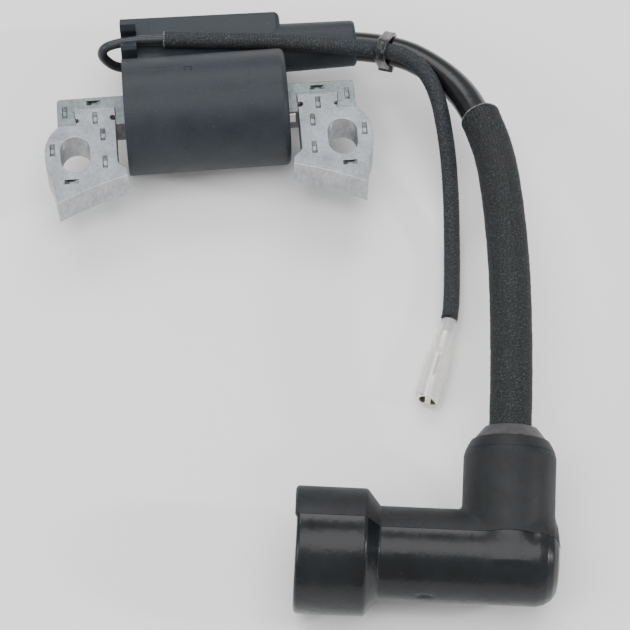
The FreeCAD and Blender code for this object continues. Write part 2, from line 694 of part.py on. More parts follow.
def frayed_end():
    """Opened end of the kill wire's sleeve, which the cover's neck slides into."""
    return turned([
        (-FRAYED_START, FRAYED_NECK), (-FRAYED_START, 2.05), (-0.4, 2.15), (-0.4, 1.85),
        (-FRAYED_START + 0.3, 1.8), (-FRAYED_START + 0.3, FRAYED_NECK),
    ], TERMINAL_START, TERMINAL_DIRECTION)


def terminal_cover():
    """Clear soft cover over the terminal: neck, swelling and open barrel."""
    outline = [
        (0.2, 1.2), (0.2, 1.75), (3.0, 1.75), (4.6, 2.5), (7.4, 2.55), (9.6, 3.2),
        (21.9, 3.2), (21.9, 2.6), (9.2, 2.6), (7.2, 2.0), (3.3, 2.0), (2.4, 1.2),
    ]
    return turned(outline, TERMINAL_START, TERMINAL_DIRECTION)


def main():
    lead = path_edges(LEAD_ROUTE, "high-tension lead")
    kill = path_edges(KILL_ROUTE, "kill wire")
    lead_length = sum(edge.Length for edge in lead)
    kill_length = sum(edge.Length for edge in kill)

    pieces = {}
    pieces["ht_lead_jacket"] = swept(lead, LEAD_RADIUS, LEAD_CORE_RADIUS)
    pieces["ht_lead_conductor"] = swept(lead, LEAD_CORE_RADIUS)
    covered = stretch(lead, LEAD_SLEEVE_START,
                      lead_length - (LEAD_END_LENGTH - LEAD_IN_BOOT - SLEEVE_IN_BOOT))
    pieces["ht_lead_sleeve"] = swept(covered, LEAD_SLEEVE_RADIUS, LEAD_RADIUS)
    pieces["kill_wire_jacket"] = swept(kill, KILL_RADIUS, KILL_CORE_RADIUS)
    pieces["kill_wire_conductor"] = swept(kill, KILL_CORE_RADIUS)
    braided = stretch(kill, KILL_SLEEVE_START,
                      kill_length - KILL_END_IN_TERMINAL - FRAYED_START)
    sleeve = swept(braided, KILL_SLEEVE_RADIUS, KILL_RADIUS)
    pieces["kill_wire_sleeve"] = sleeve.fuse(frayed_end()).removeSplitter()

    arm = right_arm()
    pieces["right_arm"] = arm
    pieces["left_arm"] = mirrored_x(arm)
    pieces["core_bar"] = core_bar()
    pieces["housing_shell"] = housing_shell()
    pieces["primary_bobbin"] = primary_bobbin()
    pieces["primary_winding"] = primary_winding()
    pieces["secondary_bobbin"] = secondary_bobbin()
    pieces["secondary_winding"] = secondary_winding()
    pieces["control_board"] = control_board()
    pieces["power_transistor"] = power_transistor()
    pieces["ht_terminal_pin"] = ht_terminal_pin()
    pieces["ground_tab"] = ground_tab()
    wire_in_potting = swept(kill, KILL_RADIUS)
    inner = ["primary_bobbin", "primary_winding", "secondary_bobbin", "secondary_winding",
             "control_board", "power_transistor", "ht_terminal_pin", "ground_tab"]
    pieces["potting_compound"] = potting([pieces[name] for name in inner] + [wire_in_potting])
    tie = cable_tie(lead, kill)
    for cord in (swept(lead, LEAD_RADIUS), swept(braided, KILL_SLEEVE_RADIUS)):
        tie = tie.cut(cord)
    pieces["cable_tie"] = tie
    pieces["plug_boot"] = plug_boot()
    pieces["boot_lead_terminal"] = boot_lead_terminal()
    pieces["plug_clip"] = plug_clip()
    pieces["clip_ring"] = retaining_ring()
    pieces["kill_terminal"] = kill_terminal()
    pieces["terminal_cover"] = terminal_cover()
    for name, shape in pieces.items():
        export(name, shape)


main()
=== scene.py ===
import math

import bmesh
import bpy
import numpy as np
from mathutils import Matrix, Vector
from mathutils.geometry import tessellate_polygon


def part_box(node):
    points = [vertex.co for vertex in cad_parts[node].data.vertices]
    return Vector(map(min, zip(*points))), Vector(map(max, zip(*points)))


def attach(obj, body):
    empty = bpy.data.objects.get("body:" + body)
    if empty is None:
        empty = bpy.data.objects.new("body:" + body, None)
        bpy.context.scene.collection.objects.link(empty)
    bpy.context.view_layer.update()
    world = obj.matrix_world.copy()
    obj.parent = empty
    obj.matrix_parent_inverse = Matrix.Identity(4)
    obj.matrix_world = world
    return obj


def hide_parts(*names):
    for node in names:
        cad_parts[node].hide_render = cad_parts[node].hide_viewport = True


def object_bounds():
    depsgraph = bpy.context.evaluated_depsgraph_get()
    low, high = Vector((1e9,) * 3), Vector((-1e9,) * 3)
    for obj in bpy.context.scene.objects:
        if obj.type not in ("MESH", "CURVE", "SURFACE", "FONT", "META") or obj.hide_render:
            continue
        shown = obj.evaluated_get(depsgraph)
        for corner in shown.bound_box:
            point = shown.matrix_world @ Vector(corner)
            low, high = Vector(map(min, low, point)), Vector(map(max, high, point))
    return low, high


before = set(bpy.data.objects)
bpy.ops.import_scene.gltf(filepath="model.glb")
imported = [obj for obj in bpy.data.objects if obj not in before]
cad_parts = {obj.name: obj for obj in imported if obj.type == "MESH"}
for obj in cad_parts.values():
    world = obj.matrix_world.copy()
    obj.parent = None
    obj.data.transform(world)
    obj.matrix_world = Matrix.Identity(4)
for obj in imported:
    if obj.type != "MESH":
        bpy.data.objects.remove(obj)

MM = 0.001
cad_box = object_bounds()

# ---- camera ----
CAMERA_PLACE = Vector((-3.853, -349.788, 544.809)) * MM
CAMERA_RIGHT = Vector((0.99649, -0.08368, 0.0))
CAMERA_FORWARD = Vector((0.04057, 0.48311, -0.87462))
CAMERA_LENS = 154.286

# ---- places and directions of the boot's two arms and the terminal, in millimetres ----
TO_MOUTH = Vector((-0.991445, 0.130526, 0.0))
TO_LEAD = Vector((0.126079, 0.957662, 0.258819))
BOOT_CORNER = Vector((56.8, -119.3, 13.8))
TERMINAL_START = Vector((51.85, -55.07, 3.25))
TO_TERMINAL = Vector((-0.341904, -0.939735, 0.0))

# ---- cords, control points in millimetres ----
LEAD_POINTS = [
    (22.0, 18.1, 11.5),
    (42.8, 18.1, 11.5),
    (58.9, 4.4, 13.6),
    (64.3, -13.0, 17.2),
    (65.6, -31.5, 22.4),
    (63.104, -71.417, 26.741),
    (58.061, -109.723, 16.388),
]
KILL_POINTS = [
    (-15.6, 17.0, 9.4),
    (-19.9, 16.7, 9.2),
    (-23.8, 16.9, 14.4),
    (-23.3, 17.5, 17.5),
    (-19.5, 18.0, 18.5),
    (-12.5, 18.2, 19.0),
    (4.0, 16.3, 19.1),
    (17.0, 15.1, 19.1),
    (29.0, 13.6, 18.3),
    (39.5, 12.5, 17.0),
    (48.6, 9.8, 17.4),
    (54.0, 1.4, 16.7),
    (55.6, -11.5, 11.6),
    (55.5, -24.0, 6.0),
    (54.35, -37.5, 2.1),
    (53.35, -46.0, 3.0),
    (52.1, -54.5, 3.25),
    (49.286, -62.118, 3.25),
]
LEAD_RADIUS = 3.5
KILL_RADIUS = 1.15


# ---- helpers ----
class Surface:
    """A material: a Principled shader with constants set and patterns in object coordinates."""

    def __init__(self, name, **constants):
        self.material = bpy.data.materials.new(name)
        self.material.use_nodes = True
        self.tree = self.material.node_tree
        self.shader = self.tree.nodes["Principled BSDF"]
        self.position = self.add("TexCoord").outputs["Object"]
        for key, value in constants.items():
            self.shader.inputs[key.replace("_", " ")].default_value = value

    def add(self, kind, inputs=None, **settings):
        made = self.tree.nodes.new("ShaderNode" + kind)
        for key, value in settings.items():
            setattr(made, key, value)
        for key, value in (inputs or {}).items():
            if isinstance(value, bpy.types.NodeSocket):
                self.tree.links.new(value, made.inputs[key])
            else:
                made.inputs[key].default_value = value
        return made

    def stretched(self, x, y, z):
        return self.add("Mapping", {"Vector": self.position, "Scale": (x, y, z)}).outputs["Vector"]

    def noise(self, scale, detail=3.0, roughness=0.5, vector=None):
        inputs = {"Vector": vector or self.position, "Scale": scale,
                  "Detail": detail, "Roughness": roughness}
        return self.add("TexNoise", inputs).outputs["Fac"]

    def math(self, operation, a, b=0.0):
        return self.add("Math", {0: a, 1: b}, operation=operation).outputs["Value"]

    def ramp(self, value, *stops):
        """Colours, or greys given as one number, at rising places from 0 to 1."""
        made = self.add("ValToRGB", {"Fac": value})
        elements = made.color_ramp.elements
        while len(elements) < len(stops):
            elements.new(1.0)
        for element, (place, colour) in zip(elements, stops):
            element.position = place
            grey = isinstance(colour, (int, float))
            element.color = (colour, colour, colour, 1) if grey else (*colour, 1)
        return made.outputs["Color"]

    def mixed(self, share, a, b):
        inputs = {"Factor": share, "A": a, "B": b}
        made = self.add("Mix", data_type="RGBA")
        for key, index in (("Factor", 0), ("A", 6), ("B", 7)):
            value = inputs[key]
            if isinstance(value, bpy.types.NodeSocket):
                self.tree.links.new(value, made.inputs[index])
            else:
                made.inputs[index].default_value = value if key == "Factor" else (*value, 1)
        return made.outputs[2]

    def colour(self, value):
        self.tree.links.new(value, self.shader.inputs["Base Color"])

    def rough(self, value):
        self.tree.links.new(value, self.shader.inputs["Roughness"])

    def bump(self, height, distance_mm):
        last = self.shader.inputs["Normal"].links
        inputs = {"Height": height, "Distance": distance_mm * MM, "Strength": 1.0}
        if last:
            inputs["Normal"] = last[0].from_socket
        made = self.add("Bump", inputs)
        self.tree.links.new(made.outputs["Normal"], self.shader.inputs["Normal"])


def linked(name, data):
    """A new object in the scene."""
    made = bpy.data.objects.new(name, data)
    bpy.context.scene.collection.objects.link(made)
    return made


def riding(name, data, body="root"):
    """A new object that rides on a body."""
    made = linked(name, data)
    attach(made, body)
    return made


def piece(name, vertices, faces, surfaces, body="root", chosen=None):
    """A new smooth mesh in millimetres. chosen holds each face's index among the surfaces."""
    mesh = bpy.data.meshes.new(name)
    mesh.from_pydata((np.array(vertices, float) * MM).tolist(), [], faces)
    for surface in surfaces:
        mesh.materials.append(surface.material)
    if chosen is not None:
        mesh.polygons.foreach_set("material_index", chosen)
    mesh.polygons.foreach_set("use_smooth", [True] * len(mesh.polygons))
    mesh.validate()
    return riding(name, mesh, body)


def from_work(name, work, surface, smooth):
    """A new piece from a bmesh in metres, which is freed."""
    mesh = bpy.data.meshes.new(name)
    work.to_mesh(mesh)
    work.free()
    mesh.materials.append(surface.material)
    mesh.polygons.foreach_set("use_smooth", [smooth] * len(mesh.polygons))
    return riding(name, mesh)


def add_block(work, size, place=(0, 0, 0)):
    """A cuboid in a bmesh."""
    for v in bmesh.ops.create_cube(work, size=1.0)["verts"]:
        v.co = Vector([v.co[i] * size[i] + place[i] for i in range(3)])


def round_edges(work, radius):
    bmesh.ops.bevel(work, geom=list(work.edges), offset=radius, segments=3, affect="EDGES", profile=0.5)


def cleaned(mesh, gap):
    """The mesh with vertices closer than gap, in metres, joined."""
    work = bmesh.new()
    work.from_mesh(mesh)
    bmesh.ops.remove_doubles(work, verts=work.verts, dist=gap)
    work.to_mesh(mesh)
    work.free()


def nurbs(name, points, radius, surface):
    """A round cord on a smooth spline through its route's control points."""
    curve = bpy.data.curves.new(name, "CURVE")
    curve.dimensions = "3D"
    spline = curve.splines.new("NURBS")
    spline.points.add(len(points) - 1)
    for control, place in zip(spline.points, points):
        control.co = (*(Vector(place) * MM), 1)
    spline.order_u = 3
    spline.use_endpoint_u = True
    curve.resolution_u = 24
    spline.resolution_u = 24
    curve.bevel_depth = radius * MM
    curve.bevel_resolution = 8
    curve.use_fill_caps = True
    curve.materials.append(surface.material)
    return riding(name, curve)


def unit(vectors):
    return vectors / np.linalg.norm(vectors, axis=-1, keepdims=True)


class Path:
    """A cord's own line, in millimetres, with two directions across it that do not twist."""

    def __init__(self, cord):
        bare = cord.data.copy()
        bare.bevel_depth = 0
        holder = bpy.data.objects.new("bare", bare)
        mesh = bpy.data.meshes.new_from_object(holder)
        self.points = np.array([v.co for v in mesh.vertices]) / MM
        bpy.data.objects.remove(holder)
        bpy.data.curves.remove(bare)
        bpy.data.meshes.remove(mesh)
        step = np.linalg.norm(np.diff(self.points, axis=0), axis=1)
        self.along = np.concatenate([[0], np.cumsum(step)])
        self.length = self.along[-1]
        self.tangent = unit(np.gradient(self.points, self.along, axis=0))
        across = [unit(np.cross(self.tangent[0], (0, 1, 0)))]
        for direction in self.tangent[1:]:
            last = across[-1]
            across.append(unit(last - direction * (last @ direction)))
        self.across = np.array(across)
        self.other = np.cross(self.tangent, self.across)

    def read(self, values, s):
        return np.stack([np.interp(s, self.along, values[:, i]) for i in range(3)], -1)

    def at(self, s):
        return self.read(self.points, s), unit(self.read(self.tangent, s))

    def round(self, s, angle, radius):
        """Points at distances s along, at an angle and radius about the line."""
        s, angle, radius = np.broadcast_arrays(s, angle, radius)
        side = (np.cos(angle)[..., None] * self.read(self.across, s)
                + np.sin(angle)[..., None] * self.read(self.other, s))
        return self.read(self.points, s) + radius[..., None] * side

    def where_x(self, x):
        return float(self.along[np.argmin(np.abs(self.points[:, 0] - x))])


def grid_faces(rows, columns, first=0, closed_columns=True, closed_rows=False):
    faces = []
    for i in range(rows if closed_rows else rows - 1):
        a, b = first + i * columns, first + (i + 1) % rows * columns
        for j in range(columns if closed_columns else columns - 1):
            k = (j + 1) % columns
            faces.append((a + j, a + k, b + k, b + j))
    return faces


def turned(outline, origin, axis, segments=64, shear=None):
    """Vertices and faces of a closed outline of (distance, radius) turned about an axis."""
    axis = np.array(axis, float)
    side = unit(np.cross(axis, (0, 0, 1)))
    other = np.cross(axis, side)
    angle = np.linspace(0, 2 * math.pi, segments, endpoint=False)
    rows = []
    for s, r in outline:
        lean = shear(s, angle) if shear else 0 * angle
        ring = (np.array(origin) + (s + lean)[:, None] * axis
                + r * (np.cos(angle)[:, None] * side + np.sin(angle)[:, None] * other))
        rows.append(ring)
    return np.concatenate(rows), grid_faces(len(outline), segments, closed_rows=True)


# ---- materials ----
housing = Surface("housing_nylon", IOR=1.5, Specular_IOR_Level=0.3)
blotch = housing.noise(160, 4)
grain = housing.noise(2600, 2)
speck = housing.noise(1500, 5, 0.7)
housing.colour(housing.mixed(housing.ramp(speck, (0.6, 0.0), (0.72, 0.6)),
                             housing.ramp(blotch, (0.35, (0.0145, 0.0195, 0.0245)),
                                          (0.7, (0.021, 0.0275, 0.034))), (0.06, 0.07, 0.08)))
housing.rough(housing.ramp(blotch, (0.3, 0.42), (0.75, 0.56)))
housing.bump(grain, 0.05)
scratch = housing.noise(90, 1, 0.5, housing.stretched(9, 1.3, 5))
housing.bump(housing.ramp(scratch, (0.705, 0.0), (0.72, 1.0), (0.735, 0.0)), 0.02)

potting = Surface("potting_epoxy", Roughness=0.3, Specular_IOR_Level=0.3)
potting.colour(potting.ramp(potting.noise(200), (0.3, (0.006, 0.006, 0.007)), (0.7, (0.014, 0.014, 0.016))))
potting.bump(potting.noise(250, 3), 0.15)


def steel(name, low, high, roughness, grain_scale=(1, 1, 1), grain_size=1400, depth=0.012):
    """Rolled or sheared electrical steel, mottled, with a grain that may be drawn out."""
    made = Surface(name, Metallic=1.0)
    vector = made.stretched(*grain_scale)
    mottle = made.noise(260, 4, 0.6)
    fine = made.noise(grain_size, 3, 0.6, vector)
    both = made.math("ADD", made.math("MULTIPLY", mottle, 0.5), made.math("MULTIPLY", fine, 0.5))
    made.colour(made.ramp(both, (0.38, low), (0.62, high)))
    made.rough(made.ramp(both, (0.35, roughness + 0.08), (0.65, roughness - 0.06)))
    made.bump(fine, depth)
    return made


arm_face = steel("arm_face", (0.22, 0.24, 0.262), (0.29, 0.312, 0.335), 0.5)
arm_edge = steel("arm_edge", (0.38, 0.395, 0.405), (0.53, 0.54, 0.55), 0.46, (1, 1, 0.3), 1700, 0.012)
bar_face = steel("bar_face", (0.16, 0.19, 0.195), (0.22, 0.252, 0.257), 0.52)
bar_edge = steel("bar_edge", (0.2, 0.195, 0.185), (0.34, 0.335, 0.32), 0.5, (1, 1, 0.3), 1700, 0.012)
# Painted light on the staking dimples: a bright steel paints a highlight on one end wall, a dark steel paints
# shade on the other walls
stake_painted_highlight = steel("stake_painted_highlight", (0.30, 0.315, 0.33), (0.52, 0.54, 0.56), 0.24)
stake_painted_shade = steel("stake_painted_shade", (0.075, 0.08, 0.085), (0.17, 0.175, 0.18), 0.4)
tinned = steel("tinned_brass", (0.72, 0.69, 0.62), (0.92, 0.89, 0.82), 0.3, (1, 1, 1), 1200, 0.03)

lead_rubber = Surface("lead_rubber", Roughness=0.22, IOR=1.5, Specular_IOR_Level=0.35)
lead_rubber.colour(lead_rubber.ramp(lead_rubber.noise(220), (0.3, (0.004, 0.0045, 0.005)),
                                    (0.7, (0.009, 0.0095, 0.011))))
lead_rubber.bump(lead_rubber.noise(700, 2), 0.03)

wire_pvc = Surface("wire_pvc", Roughness=0.3, IOR=1.5, Specular_IOR_Level=0.35)
wire_pvc.colour(wire_pvc.ramp(wire_pvc.noise(600), (0.3, (0.020, 0.023, 0.027)),
                              (0.7, (0.032, 0.036, 0.042))))
wire_pvc.bump(wire_pvc.noise(2500, 2), 0.015)


def yarn(name, dark, middle, bright, size):
    """Woven yarn with flecks of reflected light."""
    made = Surface(name, Roughness=0.6, Specular_IOR_Level=0.3, Sheen_Weight=0.04, Sheen_Roughness=0.4)
    made.colour(made.ramp(made.noise(size, 4, 0.75), (0.42, dark), (0.55, middle), (0.70, bright)))
    made.bump(made.noise(6000, 2), 0.02)
    return made


lead_yarn = yarn("lead_yarn", (0.0045, 0.0055, 0.0062), (0.016, 0.0185, 0.021), (0.09, 0.096, 0.102), 2600)
kill_yarn = yarn("kill_yarn", (0.0105, 0.0125, 0.015), (0.027, 0.032, 0.037), (0.12, 0.135, 0.145), 3000)
braid_cut = Surface("braid_cut", Roughness=0.7)
braid_cut.colour(braid_cut.ramp(braid_cut.noise(3000, 2), (0.35, (0.05, 0.055, 0.06)),
                                (0.65, (0.24, 0.25, 0.26))))

tie_nylon = Surface("tie_nylon", Roughness=0.3, IOR=1.53, Specular_IOR_Level=0.4)
tie_nylon.colour(tie_nylon.ramp(tie_nylon.noise(400), (0.3, (0.008, 0.009, 0.01)),
                                (0.7, (0.02, 0.021, 0.023))))
tie_nylon.bump(tie_nylon.noise(1200, 2), 0.02)


# ---- laminated core ----
def top_rings(node):
    """Outlines of a CAD node's top face, with the steel on their left, and its height, in millimetres."""
    work = bmesh.new()
    work.from_mesh(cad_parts[node].data)
    bmesh.ops.remove_doubles(work, verts=work.verts, dist=1e-6)
    high = max(v.co.z for v in work.verts)
    level = [f for f in work.faces if all(abs(v.co.z - high) < 1e-6 for v in f.verts)]
    top = set(level)
    following = {}
    for face in level:
        for loop in face.loops:
            if sum(other in top for other in loop.edge.link_faces) == 1:
                following[loop.vert] = loop.link_loop_next.vert
    rings = []
    while following:
        first, vertex = following.popitem()
        ring = [first.co.xy / MM]
        while vertex != first:
            ring.append(vertex.co.xy / MM)
            vertex = following.pop(vertex)
        rings.append(np.array(ring))
    work.free()
    return rings, high / MM


def around(ring):
    return np.linalg.norm(ring - np.roll(ring, 1, 0), axis=1).sum()


def drawn_in(ring, distance):
    """The ring moved into the steel on its left, with its corners kept."""
    ahead = unit(np.roll(ring, -1, 0) - ring)
    behind = np.roll(ahead, 1, 0)
    left = np.stack([-ahead[:, 1], ahead[:, 0]], 1)
    left_behind = np.stack([-behind[:, 1], behind[:, 0]], 1)
    share = np.maximum(1 + (left * left_behind).sum(1), 0.4)
    return ring + distance * (left + left_behind) / share[:, None]


PLATE = 0.5          # thickness of one lamination
GROOVE = 0.08        # depth of the line between two plates
SHEAR = 0.07         # rounding of a plate's edge
STAKE_ROUND = 12.0   # a ring shorter than this is a staking dimple
STAKE_DEEP = 0.62
STAKE_FLOOR = (0.34, 0.7)      # the dimple's floor as shares of its length and width
# the third and fourth surfaces are the dimples' painted highlight and painted shade
FACE, EDGE, PAINTED_HIGHLIGHT, PAINTED_SHADE = range(4)      # places in a stack's list of surfaces


def laminated(name, node, surfaces):
    """A stack of stamped plates in the shape of a CAD node, with its staking dimples."""
    rings, high = top_rings(node)
    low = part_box(node)[0].z / MM
    walls = [r for r in rings if around(r) > STAKE_ROUND]
    stakes = [r for r in rings if around(r) <= STAKE_ROUND]
    plates = round((high - low) / PLATE)
    step = (high - low) / plates
    levels = []
    for i in range(plates):
        base = low + i * step
        first = 2 * SHEAR if i == 0 else GROOVE
        last = 2 * SHEAR if i == plates - 1 else GROOVE
        levels += [(base, first), (base + SHEAR, 0.01), (base + 2 * SHEAR, 0),
                   (base + step - 2 * SHEAR, 0), (base + step - SHEAR, 0.01), (base + step, last)]
    vertices, faces, chosen = [], [], []
    for ring in walls:
        first = len(vertices)
        for z, inward in levels:
            vertices += [(x, y, z) for x, y in drawn_in(ring, inward)]
        made = grid_faces(len(levels), len(ring), first)
        faces += made
        chosen += [EDGE] * len(made)
    for z, holes, flip in ((high, stakes, False), (low, [], True)):
        outlines = [[Vector((x, y, z)) for x, y in drawn_in(r, 2 * SHEAR)] for r in walls]
        outlines += [[Vector((x, y, z)) for x, y in r] for r in holes]
        first = len(vertices)
        vertices += [tuple(p) for outline in outlines for p in outline]
        for a, b, c in tessellate_polygon(outlines):
            normal = (Vector(vertices[first + b]) - Vector(vertices[first + a])).cross(
                Vector(vertices[first + c]) - Vector(vertices[first + a]))
            up = (a, b, c) if (normal.z > 0) != flip else (c, b, a)
            faces.append(tuple(first + n for n in up))
            chosen.append(FACE)
    for ring in stakes:
        corners = ring[np.argsort(-np.abs(ring - ring.mean(0)).sum(1))[:4]]
        middle = corners.mean(0)
        corners = corners[np.argsort(np.arctan2(*(corners - middle).T[::-1]))]
        long_x = np.ptp(corners[:, 0]) > np.ptp(corners[:, 1])
        shrink = STAKE_FLOOR if long_x else STAKE_FLOOR[::-1]
        first = len(vertices)
        vertices += [(x, y, high) for x, y in corners]
        vertices += [(x, y, high - STAKE_DEEP) for x, y in middle + (corners - middle) * shrink]
        faces.append(tuple(first + 4 + i for i in range(4)))
        faces += [(first + i, first + (i + 1) % 4, first + 4 + (i + 1) % 4, first + 4 + i) for i in range(4)]
        # one end wall of each dimple gets the painted highlight and the other three walls the painted shade,
        # for the light and shade its slopes would catch
        bright_end = 1 if long_x else 0
        chosen += [FACE] + [PAINTED_HIGHLIGHT if i == bright_end else PAINTED_SHADE for i in range(4)]
    made = piece(name, vertices, faces, surfaces, chosen=chosen)
    cleaned(made.data, 1e-7)
    made.data.set_sharp_from_angle(angle=math.radians(28))
    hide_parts(node)


arm_surfaces = [arm_face, arm_edge, stake_painted_highlight, stake_painted_shade]
laminated("left_arm_plates", "left_arm", arm_surfaces)
laminated("right_arm_plates", "right_arm", arm_surfaces)
laminated("core_bar_plates", "core_bar", [bar_face, bar_edge, stake_painted_highlight, stake_painted_shade])

# ---- cords ----
lead = nurbs("ht_lead", LEAD_POINTS, LEAD_RADIUS, lead_rubber)
kill = nurbs("kill_wire", KILL_POINTS, KILL_RADIUS, wire_pvc)
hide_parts("ht_lead_jacket")
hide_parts("kill_wire_jacket", "kill_wire_conductor")
lead_path, kill_path = Path(lead), Path(kill)

LEAD_SLEEVE_START = 54.5     # distances along each cord's line
RIM_FROM_END = 18.4          # from the boot's rim to the lead's cut end
SLEEVE_IN_BOOT = 6.0
KILL_SLEEVE_START = 27.6
KILL_IN_TERMINAL = 7.5       # from the cover's neck to the wire's end
FRAY = 2.8                   # length of the kill wire sleeve's opened end
YARN_HALF_WIDTH = 0.62       # as a share of the distance between two crossings
DIAGONAL = 0.707
LINER_GAP = 0.12


def braid(name, node, path, start, end, radius, strands, lift, surface, shift=None, opened=0.0):
    """Yarns laid over and under each other at 45 degrees about a liner.

    shift moves the braid to one side by distance along the path. opened flares the far end.
    """
    lay = 1.0 / radius
    crossing = math.pi / (strands * lay)
    count = int(2 * (end - start) / crossing) + 1
    s = (start + np.arange(count) * (crossing / 2))[None, :, None]
    wave = np.cos((s - start) * strands * lay)
    edge = np.array([-1.0, 0.0, 1.0])[None, None, :]
    half = YARN_HALF_WIDTH * crossing * DIAGONAL
    rng = np.random.default_rng(7)
    slack = rng.uniform(-0.05, 0.05, (strands, 1, 1))
    flare = opened * np.clip((s - end + FRAY) / FRAY, 0, 1) ** 2
    points, faces = [], []
    for side in (-1, 1):
        own = 2 * math.pi * np.arange(strands)[:, None, None] / strands
        angle = own + side * (s - start) * lay + edge * half / radius
        along = s - side * edge * half + 0 * own
        ragged = rng.uniform(-0.5, 0.6, (strands, 1, 1)) * (s > end - 0.4) * (opened > 0)
        height = radius + side * lift * wave - 0.06 * np.abs(edge) + slack + flare
        height = height + rng.uniform(0, 0.35, (strands, 1, 1)) * flare      # yarns open unevenly
        points.append(path.round(along + ragged, angle, height).reshape(-1, 3))
    per = count * 3
    cells = np.arange(count - 1)[:, None] * 3 + np.arange(2)[None]
    quads = np.stack([cells, cells + 1, cells + 4, cells + 3], -1).reshape(-1, 4)
    for k in range(2 * strands):
        faces.append(quads + k * per)
    points = np.concatenate(points)
    faces = np.concatenate(faces).tolist()
    liner_s = np.linspace(start + 0.3, end - 0.5, max(40, int((end - start) * 1.5)))[:, None]
    angles = np.linspace(0, 2 * math.pi, 32, endpoint=False)[None]
    liner = path.round(liner_s, angles, radius - lift - LINER_GAP)
    faces += grid_faces(len(liner_s), 32, len(points))
    points = np.concatenate([points, liner.reshape(-1, 3)])
    if shift is not None:
        nearest = np.interp(points[:, 1], path.points[::-1, 1], path.along[::-1])
        points = points + shift(nearest)[:, None] * np.array([1.0, 0.0, 0.0])
    made = piece(name, points, faces, [surface])
    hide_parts(node)
    return made


def sagged(s):
    """The loose upper end of the lead's sleeve hangs to one side."""
    top = np.clip(1 - (s - LEAD_SLEEVE_START) / 22.0, 0, 1) ** 1.5
    clear = np.clip((lead_path.length - RIM_FROM_END - s) / 12.0, 0, 1)
    return 0.5 * top + 0.10 * clear


lead_sleeve_end = lead_path.length - RIM_FROM_END + SLEEVE_IN_BOOT
kill_sleeve_end = kill_path.length - KILL_IN_TERMINAL - 0.4
lead_sleeve = braid("lead_sleeve_braid", "ht_lead_sleeve", lead_path, LEAD_SLEEVE_START,
                    lead_sleeve_end, 4.56, 36, 0.12, lead_yarn, shift=sagged)
kill_sleeve = braid("kill_sleeve_braid", "kill_wire_sleeve", kill_path, KILL_SLEEVE_START,
                    kill_sleeve_end, 1.80, 16, 0.13, kill_yarn, opened=0.06)


def cut_edge(name, path, start, radius, wall, shift=0.0):
    """The pale heat-cut end of a braided sleeve."""
    profile = [(start - 0.12, radius - 0.04), (start - 0.05, radius + 0.05), (start + 0.14, radius + 0.06),
               (start + 0.14, radius - wall), (start - 0.12, radius - wall)]
    s = np.array([p[0] for p in profile])[:, None]
    r = np.array([p[1] for p in profile])[:, None]
    angle = np.linspace(0, 2 * math.pi, 48, endpoint=False)[None]
    wobble = 0.04 * np.sin(3 * angle) + 0.03 * np.sin(7 * angle + 1)
    points = path.round(s + wobble, angle, r) + np.array([shift, 0, 0])
    return piece(name, points.reshape(-1, 3), grid_faces(5, 48, closed_rows=True), [braid_cut])


kill_cut = cut_edge("kill_sleeve_edge", kill_path, KILL_SLEEVE_START, 1.86, 0.45)
lead_cut = cut_edge("lead_sleeve_edge", lead_path, LEAD_SLEEVE_START, 4.69, 0.5, shift=0.62)

# ---- cable tie ----
TIE_X = 44.3
TIE_WIDE = 2.5
TIED_SLEEVE_RADIUS = 1.93
TIE_SECTION = [              # across the band, as a share of its width, and out from the cords
    (-0.5, 0.12), (-0.5, 0.85), (-0.42, 1.0), (-0.3, 1.0), (-0.26, 0.9),
    (0.26, 0.9), (0.3, 1.0), (0.42, 1.0), (0.5, 0.85), (0.5, 0.12),
]


def tie():
    """Ribbed band about the two cords side by side, with a lock head and a trimmed tail."""
    lead_at, along = lead_path.at(lead_path.where_x(TIE_X))
    kill_at = kill_path.at(kill_path.where_x(TIE_X - 0.4))[0]
    kill_at = kill_at - along * ((kill_at - lead_at) @ along)
    apart = unit(kill_at - lead_at)
    aside = np.cross(along, apart)
    angle = np.linspace(0, 2 * math.pi, 96, endpoint=False)
    out = np.cos(angle)[:, None] * apart + np.sin(angle)[:, None] * aside
    on_kill = (kill_at - lead_at) @ apart * np.cos(angle) + TIED_SLEEVE_RADIUS > LEAD_RADIUS
    core = np.where(on_kill[:, None], kill_at + out * TIED_SLEEVE_RADIUS, lead_at + out * LEAD_RADIUS)
    rib = 0.03 * np.cos(24 * angle)
    rows = [core + out * (grow + (rib if abs(w) < 0.3 else 0 * rib))[:, None] + along * (w * TIE_WIDE)
            for w, grow in TIE_SECTION]
    band = piece("cable_tie_band", np.concatenate(rows), grid_faces(len(rows), 96, closed_rows=True),
                 [tie_nylon])
    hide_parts("cable_tie")
    down = np.array([0, -0.12, -0.99])
    down = unit(down - along * (along @ down))
    side = np.cross(down, along)
    work = bmesh.new()
    add_block(work, (3.6, 3.6, 2.3), (0, 0, 1.15))
    add_block(work, (2.4, 1.7, 1.0), (0, -2.4, 1.2))
    round_edges(work, 0.35)
    base = lead_at + down * (LEAD_RADIUS + 0.1)
    for v in work.verts:
        v.co = Vector((base + along * v.co.x + side * v.co.y + down * v.co.z) * MM)
    return band, from_work("cable_tie_head", work, tie_nylon, smooth=True)


tie_pieces = tie()

